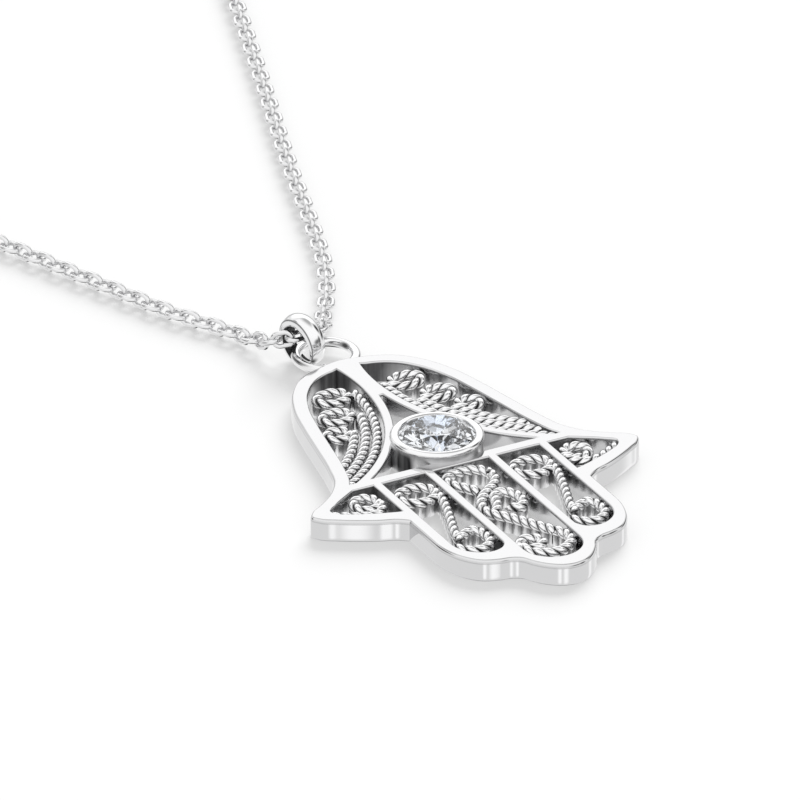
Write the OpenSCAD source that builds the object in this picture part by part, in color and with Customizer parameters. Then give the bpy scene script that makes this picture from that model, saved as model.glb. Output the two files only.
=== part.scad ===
// Hamsa pendant on a fine cable chain, lying as it is laid down on a table.
// X runs to the right thumb, Y up the hand to the bail, Z up from the table.
// The origin is on the back of the hand, in the middle of the cross bar.

/* [Hand] */
// Width of the hand from thumb tip to thumb tip
hand_w = 19; // [17:0.5:24]
// Length of the hand from the middle finger's tip to the wrist
hand_l = 25.5; // [23:0.5:32]
// Thickness of the hand
hand_t = 1.2; // [1:0.1:1.6]
// Width of the rim round the palm
palm_rim_w = 0.84; // [0.7:0.02:0.92]
// Width of the rim round the fingers
rim_w = 0.72; // [0.6:0.02:0.84]
// Width of the rim at the ends of the fingers
tip_rim_w = 1.08; // [0.8:0.02:1.2]
// Width of the bars between the fingers
bar_w = 0.5; // [0.4:0.02:0.6]
// Width of the bar across the hand, below the palm
cross_w = 0.66; // [0.5:0.02:0.8]
// Width of each arched bar over the palm
arch_w = 0.5; // [0.44:0.01:0.6]
// Radius of an arched bar's middle line
arch_r = 11.54; // [11:0.02:12.5]
// Width of the spine between the two arches and the wrist
spine_w = 1.12; // [0.9:0.02:1.3]

/* [Filigree] */
// Width of the twisted wire in the openings
wire_w = 0.43; // [0.34:0.01:0.48]
// How far the twisted wire lies below the top of the hand
wire_drop = 0.1; // [0.1:0.05:0.3]
// How far the twisted wire stands in from the back of the hand
wire_back = 0.05; // [0.05:0.01:0.2]
// How deep a wire is sunk into the frame where it meets it
wire_sink = 0.04; // [0.02:0.01:0.06]
// Distance between the middles of two neighbouring wires in the palm
wire_pitch = 0.6; // [0.56:0.02:0.7]

/* [Setting] */
// Height of the stone's middle above the cross bar
stone_y = 2.26; // [2:0.02:2.5]
// Diameter of the cut stone
stone_d = 4.15; // [3.8:0.05:4.4]
// Clearance all round the stone in its setting
stone_gap = 0.04; // [0.03:0.005:0.05]
// Depth of the stone below its girdle
pavilion_h = 1.42; // [1.2:0.02:1.46]
// Height of the stone above its girdle
crown_h = 0.58; // [0.45:0.01:0.75]
// Thickness of the stone's girdle
girdle_h = 0.1; // [0.06:0.01:0.14]
// Width of the flat table across its corners
table_d = 2.4; // [2.1:0.05:2.6]
// Thickness of the setting's wall beside the stone
cup_wall = 0.27; // [0.22:0.01:0.34]
// Height of the setting's rim above the top of the hand
cup_rise = 0.6; // [0.5:0.02:0.8]
// How far the rim reaches in over the girdle
lip_w = 0.06; // [0.04:0.01:0.09]
// Height of the rim's lip over the girdle
lip_h = 0.11; // [0.08:0.01:0.16]
// Diameter of the open back under the stone
cup_bore = 2.8; // [2.4:0.05:3.1]

/* [Ear] */
// Diameter of the ear's round wire
ear_wire = 0.54; // [0.44:0.01:0.58]
// Diameter of the middle line of the ear's ring
ear_d = 3.12; // [2.9:0.02:3.4]
// Height of the ear's wire above the table, at its middle
ear_z = 0.66; // [0.6:0.01:0.66]
// How deep the ear's ring is sunk into the wrist
ear_sink = 0.24; // [0.12:0.01:0.26]

/* [Bail] */
// Diameter of the hole through the bail
bail_bore = 2.2; // [2.16:0.02:2.4]
// Thickness of the bail's band at its top
bail_top_t = 0.57; // [0.45:0.01:0.62]
// Thickness of the bail's band at its bottom
bail_low_t = 0.12; // [0.1:0.01:0.14]
// Width of the bail's band at its top
bail_top_w = 1; // [0.8:0.02:1]
// Width of the bail's band at its bottom
bail_low_w = 0.8; // [0.6:0.02:0.8]

/* [Chain] */
// Width of the chain over its links
chain_d = 1; // [0.8:0.05:1.1]
// Diameter of the wire of the clasp's ring
clasp_wire = 0.8; // [0.6:0.05:0.85]
// Diameter of the middle line of the clasp's ring
clasp_d = 4.4; // [4:0.1:5.5]
// Diameter of the wire of the clasp's eye and of the end ring
link_wire = 0.4; // [0.3:0.02:0.44]
// Diameter of the middle line of the clasp's eye
eye_d = 1.6; // [1.5:0.05:2]
// Diameter of the middle line of the chain's end ring
end_ring_d = 2.2; // [2.1:0.05:2.6]

/* [Hidden] */
$fn = 64;
silver = [0.8, 0.81, 0.82];
overlap = 0.1;
rest_gap = 0.02;

// The tables of the hand give places from the stone's middle, in steps:
// ten of them across half the width, and 26.8 along the length.
step_x = hand_w / 20;
step_y = hand_l / 26.8;

// Where a place in steps lies on the hand
function at(p) = [p[0] * step_x, p[1] * step_y + stone_y];

// Directions, and the left-right mirror image of a run of places
function unit(v) = v / norm(v);
function flip(k) = [for (i = [len(k) - 1 : -1 : 0]) [-k[i][0], k[i][1]]];

// The direction of a smooth run at one of its knots: that of the circle
// through the knot and its neighbours, and at an end the mirrored one
function mid_dir(k, i) = let (a = k[i] - k[i - 1], b = k[i + 1] - k[i])
    unit(a / (a * a) + b / (b * b));
function knot_dir(k, i) = len(k) == 2 ? unit(k[1] - k[0])
    : i == 0 ? let (c = unit(k[1] - k[0]), t = mid_dir(k, 1)) 2 * (t * c) * c - t
    : i == len(k) - 1 ? let (c = unit(k[i] - k[i - 1]), t = mid_dir(k, i - 1)) 2 * (t * c) * c - t
    : mid_dir(k, i);

// A place and a direction on the smooth curve from knot i to the next
function curve_at(k, i, s) =
    let (c = norm(k[i + 1] - k[i]), a = knot_dir(k, i) * c, b = knot_dir(k, i + 1) * c)
    (2 * s * s * s - 3 * s * s + 1) * k[i] + (s * s * s - 2 * s * s + s) * a
    + (3 * s * s - 2 * s * s * s) * k[i + 1] + (s * s * s - s * s) * b;
function curve_dir(k, i, s) =
    let (c = norm(k[i + 1] - k[i]), a = knot_dir(k, i) * c, b = knot_dir(k, i + 1) * c)
    unit((6 * s * s - 6 * s) * k[i] + (3 * s * s - 4 * s + 1) * a
    + (6 * s - 6 * s * s) * k[i + 1] + (3 * s * s - 2 * s) * b);

// A smooth run through its knots as short chords, n to a stretch and the
// last knot left off; and the whole run set over sideways by d
function run(k, n = 5) =
    [for (i = [0 : len(k) - 2], j = [0 : (len(k) == 2 ? 0 : n - 1)]) curve_at(k, i, j / n)];
function run_aside(k, d, n = 5) = [for (i = [0 : len(k) - 2], j = [0 : (i == len(k) - 2 ? n : n - 1)])
    let (t = curve_dir(k, i, j / n)) curve_at(k, i, j / n) + d * [-t[1], t[0]]];

// The hand's outline, right half, in steps: from the wrist round the palm
// and the thumb, down the side finger, and round the finger tips
wrist = [0, 11.1];
tip = [0, -15.7];
palm_end = [0, -2];
palm_edge = [[1.2, 10.9], [3.03, 10.13], [4.12, 8.95], [5.05, 7.03], [5.6, 4.9], [6.03, 2.8], [6.6, 0.1],
    [7.05, -1.35], [7.95, -2.55], [8.95, -3.35], [9.72, -3.88], [10, -4.35], [9.68, -4.92],
    [9, -5.4], [8, -6], [7, -6.5], [6.1, -6.85], [5.57, -7.25]];
finger_side = [[5.57, -7.25], [5.57, -10]];
finger_tips = [[5.57, -10], [5.42, -11.2], [5, -12.25], [4.3, -13.05], [3.4, -13.42], [2.75, -13.55],
    [2.3, -13.8], [1.9, -14.45], [1.35, -15.1], [0.7, -15.55]];
palm_places = [for (p = concat(flip(palm_edge), [wrist], palm_edge)) at(p)];
tip_places = [for (p = concat(finger_tips, [tip], flip(finger_tips))) at(p)];
outline = concat(run(palm_places), [for (p = finger_side) at(p)], run(tip_places),
    [for (p = flip(finger_side)) at(p)]);

// The openings: half the middle finger, and each side finger, share what
// the rim and the bars leave of the hand's half width
inner_x = finger_side[0][0] * step_x - rim_w;
middle_share = 0.393;
middle_r = middle_share * (inner_x - bar_w);
side_x = middle_r + bar_w;
side_w = inner_x - side_x;
thumb_x = inner_x + bar_w;
middle_low = at(tip)[1] + tip_rim_w;
side_tip = [4, -13.45];
side_low = at(side_tip)[1] + tip_rim_w;

// A side finger's round end: shares of its width from the inner wall, and
// steps above its lowest place
side_end = [[1, 1.75], [0.92, 0.9], [0.7, 0.27], [0.4, 0], [0.13, 0.22], [0, 0.8]];

// A thumb's opening, in steps, from its top edge round the tip
thumb_end = [[6.6, -2.73], [7.3, -3.15], [8.25, -3.8], [8.75, -4.3], [8.5, -4.72], [7.9, -5.08], [7, -5.48],
    [5.4, -6.05]];

// The arched bars: two circles that touch on the spine
arches_meet = [0, 8];
arches_part = [0, 6.4];
arch_x = arch_r + arch_w / 2;
arch_y = at(arches_meet)[1];
arch_top = at(arches_part)[1];

// The twisted wires of the fingers. Across, 1 is where a wire is soldered to
// the wall beside it, counted from the middle of the opening. Down, they are
// steps from where a wire is soldered to the cross bar. Both side fingers
// have the same hand.
wire_top = -cross_w / 2 - wire_w / 2 + wire_sink;
side_reach = side_w / 2 - wire_w / 2 + wire_sink;
middle_reach = middle_r - wire_w / 2 + wire_sink;
side_ring = [0, 1.35];
side_ring_r = [1, 0.89];
side_stem = [[0.91, 1.29], [0.91, 2.19], [0.68, 3.19], [0.38, 4.19], [0.06, 5.19], [-0.22, 6.09],
    [-0.38, 7.04]];
side_hook = [[-0.38, 6.79], [0.11, 6.45], [0.56, 6.21], [0.88, 6.49], [0.97, 7.09], [0.9, 7.74],
    [0.54, 8.21], [0, 8.39], [-0.56, 8.09], [-0.91, 7.49]];
middle_crook = [[-0.23, 2.44], [-0.53, 1.79], [-0.81, 1.24], [-0.88, 0.69], [-0.67, 0.21], [-0.2, 0],
    [0.28, 0.03], [0.63, 0.34], [0.81, 0.89]];
middle_stem = [[0.81, 0.89], [0.78, 1.49], [0.52, 2.11], [0.08, 2.64], [-0.33, 3.19], [-0.63, 3.84],
    [-0.75, 4.54], [-0.59, 5.19], [-0.28, 5.74], [-0.01, 6.34], [0.23, 6.97], [0.49, 7.61], [0.75, 8.29]];
middle_sweep = [[0.75, 8.29], [1, 9.05], [0.93, 9.69], [0.57, 10.21], [0.08, 10.47], [-0.43, 10.27],
    [-0.83, 9.79], [-1, 9.14]];
middle_ring = [-0.47, 9.04];
middle_ring_r = [0.45, 0.62];
middle_curl = [[-0.47, 5.04], [-0.2, 4.49], [-0.03, 3.74], [0.2, 3.19], [0.5, 3.11], [0.77, 3.49],
    [0.87, 4.14], [0.75, 4.79], [0.43, 5.11], [0.2, 4.79]];

// The twisted wires of a thumb, in steps
thumb_ring = [6.43, -3.88];
thumb_ring_r = 0.73;
thumb_tail = [[5.72, -4.1], [5.85, -4.72], [6.4, -5.12], [7.2, -5.05], [7.95, -4.68], [8.85, -4.2]];

// The three wires of a palm run along the arch and curl into a ring at the
// top: how many wire pitches each lies from the arch, the angle about the
// arch's centre of its ring's middle, how far the ring's line lies beside
// the wire's, the ring's radii, and the angles where the wire starts and,
// inside the rim, ends
palm_wires = [
    // rank, ring, aside, ring rx, ring ry, start, end
    [0, 181, 0.38, 0.9, 0.63, 180.5, 246],
    [1, 194, 0.38, 0.85, 0.61, 194, 244],
    [2, 206.5, 0.17, 0.66, 0.53, 204.5, 239]];
palm_first = 0.38;

// Heights of the setting, from the table
cup_top = hand_t + cup_rise;
cup_r = stone_d / 2 + stone_gap + cup_wall;
girdle_top = cup_top - lip_h - 2 * stone_gap;
girdle_low = girdle_top - girdle_h;

// The ear's ring stands on the wrist's edge
ear_y = at(wrist)[1] + ear_d / 2 + ear_wire / 2 - ear_sink;

// The bail hangs on the far side of the ear's ring, to the left of its
// middle, leans to the left and is turned a little about the upright
bail_turn = 12.3;
bail_lean = 3;
bail_r = bail_bore / 2;
bail_x = -0.96;
bail_back = 0.76;
bail_y = ear_y + ear_d / 2 - bail_back;
bail_z = (bail_r + bail_low_t) * cos(bail_lean) + rest_gap;

// Ovals, and a wire of the filigree along a run of knots
module oval(r) {
    polygon([for (a = [0 : 12 : 348]) [r[0] * cos(a), r[1] * sin(a)]]);
}

module wire_ring(middle, rx, ry) {
    translate(middle) difference() {
        oval([rx + wire_w / 2, ry + wire_w / 2]);
        oval([rx - wire_w / 2, ry - wire_w / 2]);
    }
}

module wire_run(k, n = 3) {
    left = run_aside(k, wire_w / 2, n);
    right = run_aside(k, -wire_w / 2, n);
    polygon(concat(left, [for (i = [len(right) - 1 : -1 : 0]) right[i]]));
    for (p = [k[0], k[len(k) - 1]]) translate(p) circle(d = wire_w);
}

module both_sides() {
    children();
    mirror([1, 0, 0]) children();
}

// Openings of the hand, cut through from top to back
module palm_half(rim_share, low) {
    edge = [for (p = palm_edge) at(p)];
    rim = [for (p = run_aside(edge, -palm_rim_w * rim_share)) if (p[1] > at(palm_end)[1]) p];
    polygon(concat([[spine_w / 2, rim[0][1]]], rim, [[rim[len(rim) - 1][0], low], [spine_w / 2, low]]));
}

module palm_opening() {
    intersection() {
        palm_half(1, cross_w / 2);
        translate([arch_x, arch_y]) circle(r = arch_r - arch_w / 2, $fn = 180);
    }
}

module middle_opening() {
    difference() {
        polygon([[-arch_x, cross_w / 2], [arch_x, cross_w / 2],
            [arch_x / 2, arch_top], [-arch_x / 2, arch_top]]);
        both_sides() translate([arch_x, arch_y]) circle(r = arch_r + arch_w / 2, $fn = 180);
    }
}

module middle_finger_opening() {
    translate([-middle_r, middle_low + middle_r])
        square([2 * middle_r, -cross_w / 2 - middle_low - middle_r]);
    translate([0, middle_low + middle_r]) circle(r = middle_r);
}

module side_finger_opening() {
    polygon(concat([[side_x, -cross_w / 2], [inner_x, -cross_w / 2]],
        run([for (p = side_end) [side_x + p[0] * side_w, side_low + p[1] * step_y]]),
        [[side_x, side_low + side_end[len(side_end) - 1][1] * step_y]]));
}

module thumb_opening() {
    edge = [for (p = thumb_end) at(p)];
    polygon(concat([[thumb_x, -cross_w / 2]], run(edge), [[thumb_x, edge[len(edge) - 1][1]]]));
}

// The frame of the hand: rim, bars, arches and spine
module hand_frame() {
    linear_extrude(hand_t) difference() {
        polygon(outline);
        both_sides() {
            palm_opening();
            side_finger_opening();
            thumb_opening();
        }
        middle_opening();
        middle_finger_opening();
    }
}

// The twisted wires soldered into the openings
module palm_wire(row) {
    r = arch_r - arch_w / 2 - (palm_first + row[0] * wire_pitch);
    turns = ceil((row[6] - row[5]) / 6);
    ring_r = r - row[2] - row[3];
    wire_run([for (i = [0 : turns]) let (a = row[5] + (row[6] - row[5]) * i / turns)
        [arch_x + r * cos(a), arch_y + r * sin(a)]]);
    wire_ring([arch_x + ring_r * cos(row[1]), arch_y + ring_r * sin(row[1])], row[3], row[4]);
}

module palm_wires() {
    intersection() {
        palm_half(0.5, 0);
        union() {
            for (row = palm_wires) palm_wire(row);
        }
    }
}

function side_at(p) = [p[0] * side_reach, wire_top - p[1] * step_y];
module side_finger_wires() {
    wire_ring(side_at(side_ring), side_ring_r[0] * side_reach, side_ring_r[1] * step_y);
    for (k = [side_stem, side_hook]) wire_run([for (p = k) side_at(p)]);
}

function middle_at(p) = [p[0] * middle_reach, wire_top - p[1] * step_y];
module middle_finger_wires() {
    for (k = [middle_crook, middle_stem, middle_sweep, middle_curl]) wire_run([for (p = k) middle_at(p)]);
    wire_ring(middle_at(middle_ring), middle_ring_r[0] * middle_reach, middle_ring_r[1] * step_y);
}

module thumb_wires() {
    wire_ring(at(thumb_ring), thumb_ring_r * step_x, thumb_ring_r * step_y);
    wire_run([for (p = thumb_tail) at(p)]);
}

module filigree() {
    translate([0, 0, wire_back]) linear_extrude(hand_t - wire_drop - wire_back) {
        both_sides() {
            palm_wires();
            thumb_wires();
        }
        for (x = [-1, 1]) translate([x * (side_x + side_w / 2), 0]) side_finger_wires();
        middle_finger_wires();
    }
}

// The round setting: a wall with a lip over the girdle, a cone under the
// stone and an open back
module setting() {
    seat_r = stone_d / 2 + stone_gap;
    slope = pavilion_h / (stone_d / 2);
    bore_z = girdle_low - stone_gap - (seat_r - cup_bore / 2) * slope;
    translate([0, stone_y]) rotate_extrude() polygon([
        [cup_bore / 2, 0], [cup_r - overlap, 0], [cup_r, overlap],
        [cup_r, cup_top - overlap], [cup_r - overlap / 2, cup_top - overlap / 3], [cup_r - overlap, cup_top],
        [seat_r, cup_top], [seat_r - stone_gap - lip_w, cup_top - overlap / 3],
        [seat_r - stone_gap - lip_w, cup_top - lip_h], [seat_r, cup_top - lip_h],
        [seat_r, girdle_low - stone_gap], [cup_bore / 2, bore_z]]);
}

module ear() {
    translate([0, ear_y, ear_z]) rotate_extrude() translate([ear_d / 2, 0]) circle(d = ear_wire, $fn = 32);
}

// The whole hand is one casting with its wires, setting and ear soldered in
module hand() {
    color(silver) union() {
        difference() {
            union() {
                hand_frame();
                filigree();
            }
            translate([0, stone_y, -overlap]) cylinder(r = cup_r - cup_wall / 2, h = hand_t + 2 * overlap);
        }
        setting();
        ear();
    }
}

// The brilliant: table, stars, kites, girdle, and the facets to the culet
module stone() {
    r = stone_d / 2;
    table_r = table_d / 2;
    star_r = (r + table_r) / 2 + 0.04;
    star_z = crown_h * (r - star_r * cos(22.5)) / (r - table_r);
    low_r = r * 0.26;
    low_z = pavilion_h * (r - low_r * cos(22.5)) / r;
    function ring(n, rad, z, a0 = 0) = [for (i = [0 : n - 1])
        [rad * cos(a0 + 360 * i / n), rad * sin(a0 + 360 * i / n), z]];
    points = concat(ring(8, table_r, girdle_top + crown_h), ring(8, star_r, girdle_top + star_z, 22.5),
        ring(16, r, girdle_top), ring(16, r, girdle_low), ring(8, low_r, girdle_low - low_z, 22.5),
        [[0, 0, girdle_low - pavilion_h]]);
    star = 8;
    top = 16;
    low = 32;
    main = 48;
    culet = 56;
    faces = concat([[for (i = [7 : -1 : 0]) i]],
        [for (i = [0 : 7]) [i, (i + 1) % 8, star + i]],
        [for (i = [0 : 7]) [i, star + i, top + 2 * i, star + (i + 7) % 8]],
        [for (i = [0 : 7]) [star + i, top + 2 * i + 1, top + 2 * i]],
        [for (i = [0 : 7]) [star + i, top + (2 * i + 2) % 16, top + 2 * i + 1]],
        [for (i = [0 : 15]) [top + i, top + (i + 1) % 16, low + (i + 1) % 16, low + i]],
        [for (i = [0 : 7]) [low + 2 * i, low + 2 * i + 1, main + i]],
        [for (i = [0 : 7]) [low + 2 * i + 1, low + (2 * i + 2) % 16, main + i]],
        [for (i = [0 : 7]) [low + 2 * i, main + i, culet, main + (i + 7) % 8]]);
    color([0.85, 0.9, 0.96]) translate([0, stone_y]) polyhedron(points, faces);
}

// The bail: a band with a flat inside, upright sides and a domed outside,
// wide and thick at its top and narrower and thin at its bottom. Its section
// is in shares of the width and of the thickness.
module bail() {
    turns = 48;
    dome_h = 0.36;
    dome_w = 0.94;
    steps = 8;
    dome = [for (i = [0 : steps]) let (x = dome_w * (0.5 - i / steps)) [x, 1 - dome_h * 4 * x * x]];
    section = concat([[0.46, 0], [0.5, 0.1], [0.5, 0.55]], dome, [[-0.5, 0.55], [-0.5, 0.1], [-0.46, 0]]);
    sides = len(section);
    function point(i, j) = let (a = 360 * i / turns, up = (1 + sin(a)) / 2,
        t = bail_low_t + (bail_top_t - bail_low_t) * up, w = bail_low_w + (bail_top_w - bail_low_w) * up,
        out = bail_r + t * section[j][1])
        [w * section[j][0], out * cos(a), out * sin(a)];
    points = [for (i = [0 : turns - 1], j = [0 : sides - 1]) point(i, j)];
    faces = [for (i = [0 : turns - 1], j = [0 : sides - 1]) let (m = (i + 1) % turns, n = (j + 1) % sides)
        [i * sides + j, m * sides + j, m * sides + n, i * sides + n]];
    color(silver) translate([bail_x, bail_y, bail_z]) rotate([0, 0, bail_turn]) rotate([0, -bail_lean, 0])
        polyhedron(points, faces);
}

// The chain's middle line, laid out by hand from the middle of the ear's
// ring: from the clasp down the left side, over the ear's wire through the
// bail, and up the right side
chain_route = [
    [-4.6, 192.2, 0.9], [-9, 191.4, 0.56], [-14.5, 190, 0.5], [-22, 187, 0.5], [-30, 181.9, 0.5],
    [-37, 175.2, 0.5], [-43, 166.5, 0.5], [-47, 156.5, 0.5], [-48.7, 146.5, 0.5], [-48.3, 136.5, 0.5],
    [-46, 126.5, 0.5], [-41, 111.5, 0.5], [-35, 94.5, 0.5], [-29, 77, 0.5], [-23, 60, 0.5],
    [-17.5, 44, 0.5], [-12.8, 30.5, 0.5], [-8.5, 18.6, 0.5], [-6.2, 12.4, 0.5], [-4.4, 7.8, 0.5],
    [-3.3, 5.7, 0.5], [-2.75, 4.43, 0.53], [-2.45, 3.13, 0.74], [-2.3, 2.13, 1.08], [-2.02, 1.38, 1.42],
    [-1.45, 1.01, 1.6], [-0.7, 0.98, 1.66], [0.1, 1.28, 1.52], [0.65, 1.78, 1.38], [1.1, 2.33, 1.02],
    [1.5, 3.13, 0.72], [2.05, 4.23, 0.53], [2.9, 5.5, 0.5], [3.9, 7.3, 0.5], [5, 9.7, 0.5],
    [6.3, 13.3, 0.5], [8.4, 19.7, 0.5], [11.8, 29.3, 0.5], [17.4, 45.3, 0.5], [23.2, 61.7, 0.5],
    [29, 78.5, 0.5], [35, 95.3, 0.5], [41, 111.7, 0.5], [46, 126.7, 0.5], [48.3, 136.7, 0.5],
    [48.7, 146.7, 0.5], [47, 156.7, 0.5], [43, 166.7, 0.5], [37, 175.3, 0.5], [30, 181.9, 0.5],
    [22, 187, 0.5], [14.5, 190, 0.5], [9, 191.4, 0.56], [4.2, 192.2, 0.9]];
clasp_y = ear_y + chain_route[0][1];

// The chain stands for its links as a tube of their width
module chain() {
    sides = 8;
    k = [for (p = chain_route) p + [0, ear_y, 0]];
    middles = concat(run(k, 2), [k[len(k) - 1]]);
    last = len(middles) - 1;
    function dir(i) = unit(middles[min(i + 1, last)] - middles[max(i - 1, 0)]);
    function ring(i) = let (t = dir(i), s = unit(cross([0, 0, 1], t)), u = cross(t, s))
        [for (j = [0 : sides - 1]) let (a = 360 * (j + 0.5) / sides)
            middles[i] + chain_d / 2 * (cos(a) * s + sin(a) * u)];
    points = [for (i = [0 : last]) each ring(i)];
    walls = [for (i = [0 : last - 1], j = [0 : sides - 1]) let (n = (j + 1) % sides)
        [i * sides + j, (i + 1) * sides + j, (i + 1) * sides + n, i * sides + n]];
    color(silver) polyhedron(points, concat(walls, [[for (j = [0 : sides - 1]) j]],
        [[for (j = [sides - 1 : -1 : 0]) last * sides + j]]));
}

// The clasp closes the chain behind the neck: a ring, its eye on the left,
// which the chain's last link holds, and a knob on top, all in one piece
clasp_z = (eye_d + link_wire) / 2;
eye_sink = 0.15;
knob_turn = 60;
knob_h = 0.64;
module round_ring(d, wire) {
    rotate_extrude() translate([d / 2, 0]) circle(d = wire, $fn = 32);
}

module clasp() {
    eye_x = (clasp_d + clasp_wire + eye_d + link_wire) / 2 - eye_sink;
    color(silver) translate([0, clasp_y, clasp_z]) union() {
        round_ring(clasp_d, clasp_wire);
        translate([-eye_x, 0, 0]) rotate([90, 0, 0]) round_ring(eye_d, link_wire);
        rotate(knob_turn) translate([clasp_d / 2, 0, 0]) cylinder(d = clasp_wire / 2, h = knob_h);
    }
}

// The ring on the chain's right end lies at a slant through the clasp's ring
end_ring_slant = 45;
end_ring_slack = 0.2;
module end_ring() {
    reach = (end_ring_d - link_wire - clasp_wire) / 2 - end_ring_slack;
    color(silver) translate([clasp_d / 2 + reach, clasp_y, clasp_z]) rotate([end_ring_slant, 0, 0])
        round_ring(end_ring_d, link_wire);
}

hand();
stone();
bail();
chain();
clasp();
end_ring();
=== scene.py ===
"""A hamsa pendant of polished silver with one cut stone, on a fine cable chain, laid down on a pale table.

Everything is worked out in millimetres and put into the meshes in metres. X runs to the right
thumb, Y up the hand to the bail and Z up from the table. The origin is on the back of the hand,
in the middle of the cross bar.
"""

import bpy
import numpy as np
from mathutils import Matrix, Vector
from mathutils.geometry import tessellate_polygon


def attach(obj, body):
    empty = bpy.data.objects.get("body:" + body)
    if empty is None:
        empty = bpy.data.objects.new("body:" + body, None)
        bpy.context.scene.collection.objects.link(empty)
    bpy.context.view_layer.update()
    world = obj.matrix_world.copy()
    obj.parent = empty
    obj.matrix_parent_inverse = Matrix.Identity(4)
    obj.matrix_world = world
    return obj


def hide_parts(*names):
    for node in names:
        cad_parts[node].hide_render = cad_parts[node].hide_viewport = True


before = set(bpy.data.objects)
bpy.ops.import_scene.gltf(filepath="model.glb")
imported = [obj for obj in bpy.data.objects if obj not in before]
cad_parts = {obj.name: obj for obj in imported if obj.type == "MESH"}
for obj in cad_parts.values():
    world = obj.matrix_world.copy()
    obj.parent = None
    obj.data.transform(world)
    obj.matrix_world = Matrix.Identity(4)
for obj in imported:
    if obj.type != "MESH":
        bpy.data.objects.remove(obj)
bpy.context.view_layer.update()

# The frame of the hand: rim, cross bar, finger bars, arches and spine in one plate, cast in silver, filed
# flat on both sides, pierced, its edges eased, and polished to a mirror. Thin dark lines are painted along
# its edges and the openings' walls and corners are painted darker, as painted shade and painted dark
# reflections. Everything else is soldered to it.
hand_width, hand_length, hand_thick = 19.0, 25.5, 1.2
palm_rim_width, rim_width, tip_rim_width, bar_width, cross_width = 0.84, 0.72, 1.08, 0.5, 0.66
arch_width, arch_radius = 0.5, 11.54
eased_edge, eased_wall, flat_border = 0.13, 0.22, 0.03
hole_edge, hole_wall, back_edge, line_below = 0.09, 0.12, 0.04, 0.05
middle_share, low_corner_slope, top_corner_turn = 0.393, 0.45, 0.4
arches_meet, arches_part, side_tip = [0, 8], [0, 6.4], [4, -13.45]
# How dark the plate is painted, as painted shade and painted dark reflections: lines along the outer edge,
# the openings' walls by height, and their corners.
outside_dark, opening_dark, most_dark = [0, 0.3, 0, 0, 0.3, 0], [0, 0.75, 0.08, 0.12, 0.3], 0.9
corner_dark, corner_reach = [0, 0.2, 1.4, 0.15, 1.3, 1.4, 0.15, 1.3], [1.2, 1.2, 1.6, 1.2, 1, 1.6, 1.2, 1]
stone_middle = np.array([0.0, 2.26])
step = np.array([hand_width / 20, hand_length / 26.8])

wrist, fingertip = [[0, 11.1]], [[0, -15.7]]
palm_edge = [[1.2, 10.9], [3.03, 10.13], [4.12, 8.95], [5.05, 7.03], [5.6, 4.9], [6.03, 2.8], [6.6, 0.1],
             [7.05, -1.35], [7.95, -2.55], [8.95, -3.35], [9.72, -3.88], [10, -4.35], [9.68, -4.92],
             [9, -5.4], [8, -6], [7, -6.5], [6.1, -6.85], [5.57, -7.25]]
finger_side = [[5.57, -7.25], [5.57, -10]]
finger_tips = [[5.57, -10], [5.42, -11.2], [5, -12.25], [4.3, -13.05], [3.4, -13.42], [2.75, -13.55],
               [2.3, -13.8], [1.9, -14.45], [1.35, -15.1], [0.7, -15.55]]
side_end = np.array([[1, 1.75], [0.92, 0.9], [0.7, 0.27], [0.4, 0], [0.13, 0.22], [0, 0.8]])
thumb_end = [[6.6, -2.73], [7.3, -3.15], [8.25, -3.8], [8.75, -4.3], [8.5, -4.72], [7.9, -5.08], [7, -5.48],
             [5.4, -6.05]]


def on_hand(places):
    """Millimetres from steps: ten steps to half the width and 26.8 to the length, from the stone's middle."""
    return np.asarray(places, float) * step + stone_middle


def other_hand(places):
    """The left-right mirror image of a run of places, taken the other way along."""
    return np.asarray(places, float)[::-1] * [-1, 1]


def unit(v):
    """Each vector over its own length."""
    return v / np.linalg.norm(v, axis=-1, keepdims=True)


def smooth_run(knots, chords):
    """A smooth line through its knots, with so many chords to a stretch.

    At a knot the line goes the way of the circle through that knot and its two neighbours, at an
    end the way of the mirrored circle, and between two knots it is the cubic that has those two
    ways, each as long as the stretch.
    """
    k = np.asarray(knots, float)
    a, b = k[1:-1] - k[:-2], k[2:] - k[1:-1]
    way = unit(a / (a * a).sum(-1, keepdims=True) + b / (b * b).sum(-1, keepdims=True))
    first, last = unit(k[1] - k[0]), unit(k[-1] - k[-2])
    way = np.vstack([2 * (way[0] @ first) * first - way[0], way, 2 * (way[-1] @ last) * last - way[-1]])
    long = np.linalg.norm(k[1:] - k[:-1], axis=1)[:, None, None]
    s = (np.arange(chords) / chords)[None, :, None]
    line = ((2 * s**3 - 3 * s**2 + 1) * k[:-1, None] + (s**3 - 2 * s**2 + s) * long * way[:-1, None]
            + (3 * s**2 - 2 * s**3) * k[1:, None] + (s**3 - s**2) * long * way[1:, None])
    return np.vstack([line.reshape(-1, k.shape[1]), k[-1:]])


def straight(a, b, chords):
    """Places evenly along a straight line, the last one left off."""
    s = (np.arange(chords) / chords)[:, None]
    return np.asarray(a, float) * (1 - s) + np.asarray(b, float) * s


def way_along(line, closed=False):
    """The way that a line goes at each of its places."""
    if closed:
        return unit(np.roll(line, -1, 0) - np.roll(line, 1, 0))
    return unit(np.gradient(line, axis=0))


def all_round(count):
    """Angles evenly all the way round a circle, in degrees."""
    return np.arange(count) * 360 / count


def bow(middle, radius, start, end, chords):
    """Places on a circle from one angle to another, in degrees."""
    a = np.radians(np.linspace(start, end, chords + 1))
    return np.asarray(middle) + radius * np.column_stack([np.cos(a), np.sin(a)])


def spread_in(loop, depth):
    """A closed loop moved into the metal on its right by a depth, its corners mitred."""
    ahead = unit(np.roll(loop, -1, 0) - loop)
    right = np.column_stack([ahead[:, 1], -ahead[:, 0]])
    before = np.roll(right, 1, 0)
    return loop + depth * (right + before) / np.maximum(1 + (right * before).sum(1), 0.4)[:, None]


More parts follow.
